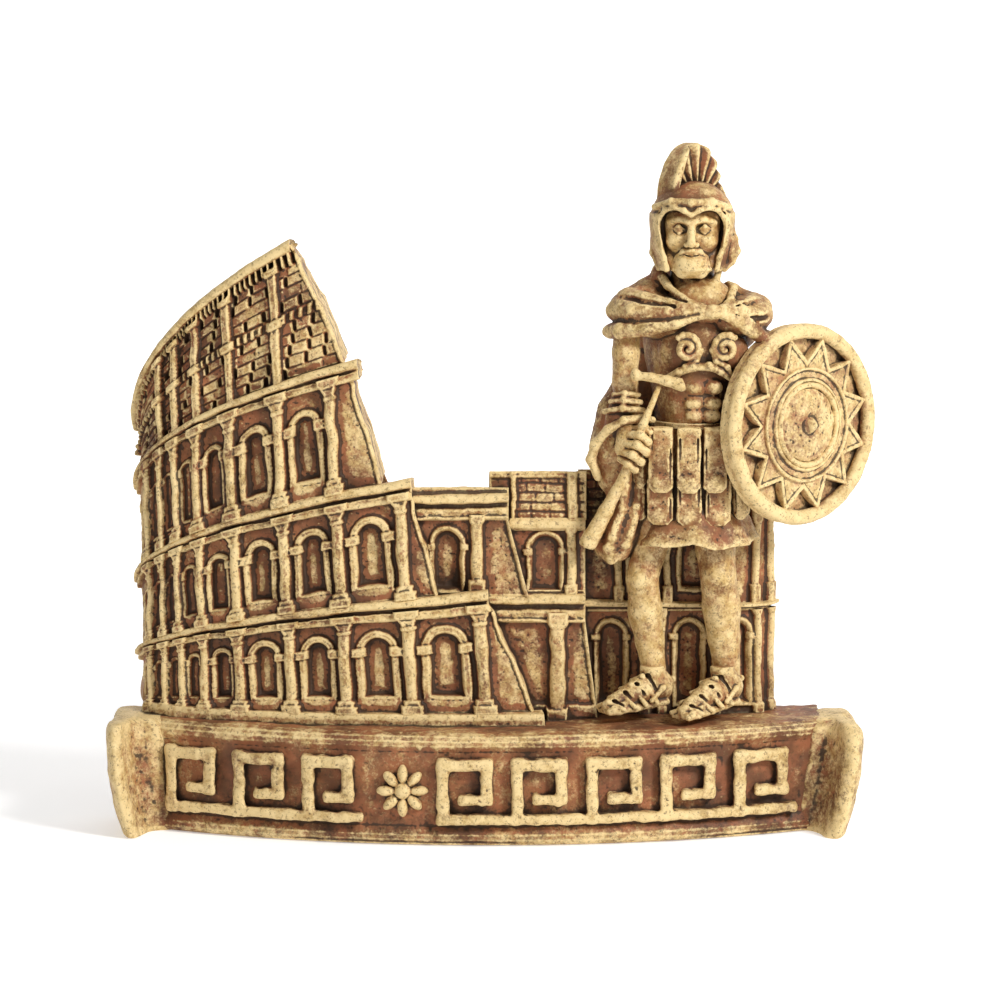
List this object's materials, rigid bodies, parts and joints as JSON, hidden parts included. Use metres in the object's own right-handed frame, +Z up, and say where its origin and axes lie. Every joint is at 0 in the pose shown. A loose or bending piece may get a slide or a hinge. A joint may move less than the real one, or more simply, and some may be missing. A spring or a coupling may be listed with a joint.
{
  "type": "souvenir relief magnet",
  "caption": "Hand-painted cast resin relief of a ruined amphitheatre and a soldier with a round shield on a bowed plinth.",
  "frame": {"origin": "middle of the bounding box at the underside of the plinth", "axes": "+X to the viewer's right along the plinth, +Y to the flat back with the magnets, +Z up"},
  "size_m": [0.077, 0.019, 0.07],
  "materials": {
    "resin_terracotta": "cast polyresin, terracotta body colour with a dark wash, satin",
    "resin_cream": "cast polyresin, dry-brushed cream over terracotta, satin",
    "resin_back": "cast polyresin, plain brown paint, matt",
    "ferrite": "sintered ferrite, ground grey faces"
  },
  "bodies": {
    "root": {"attic_wall": "resin_terracotta", "back_slab": "resin_back", "belt": "resin_cream", "brick_bay_sill": "resin_cream", "brick_bay_wall": "resin_terracotta", "brick_parapet": "resin_terracotta", "cape_drape": "resin_terracotta", "cape_knot": "resin_cream", "cape_shoulders": "resin_cream", "crown_cornice": "resin_cream", "cuirass": "resin_cream", "face": "resin_cream", "figure_back": "resin_back", "first_cornice": "resin_cream", "fist": "resin_cream", "frieze_left_meander": "resin_cream", "frieze_right_meander": "resin_cream", "frieze_rosette": "resin_cream", "ground_arcade": "resin_terracotta", "hammer_head": "resin_cream", "hammer_shaft": "resin_cream", "helmet": "resin_cream", "helmet_crest": "resin_cream", "inner_bay_cornice": "resin_cream", "inner_bay_wall": "resin_terracotta", "inner_ground_cornice": "resin_cream", "inner_ground_wall": "resin_terracotta", "left_leg": "resin_cream", "left_magnet": "ferrite", "left_sandal": "resin_cream", "left_scroll_end": "resin_cream", "lower_flaps": "resin_cream", "neck": "resin_cream", "plinth": "resin_terracotta", "rear_ground_arcade": "resin_terracotta", "rear_string_course": "resin_cream", "rear_upper_wall": "resin_terracotta", "right_leg": "resin_cream", "right_magnet": "ferrite", "right_sandal": "resin_cream", "right_scroll_end": "resin_cream", "second_arcade": "resin_terracotta", "second_cornice": "resin_cream", "shield_back": "resin_back", "shield_boss": "resin_cream", "shield_inner_ring": "resin_cream", "shield_outer_ring": "resin_cream", "shield_plate": "resin_cream", "shield_rim": "resin_cream", "shield_star": "resin_cream", "stylobate": "resin_terracotta", "third_arcade": "resin_terracotta", "third_cornice": "resin_cream", "tunic_hem": "resin_cream", "upper_arm": "resin_cream", "upper_flaps": "resin_cream", "wrist_folds": "resin_cream"}
  },
  "joints": []
}
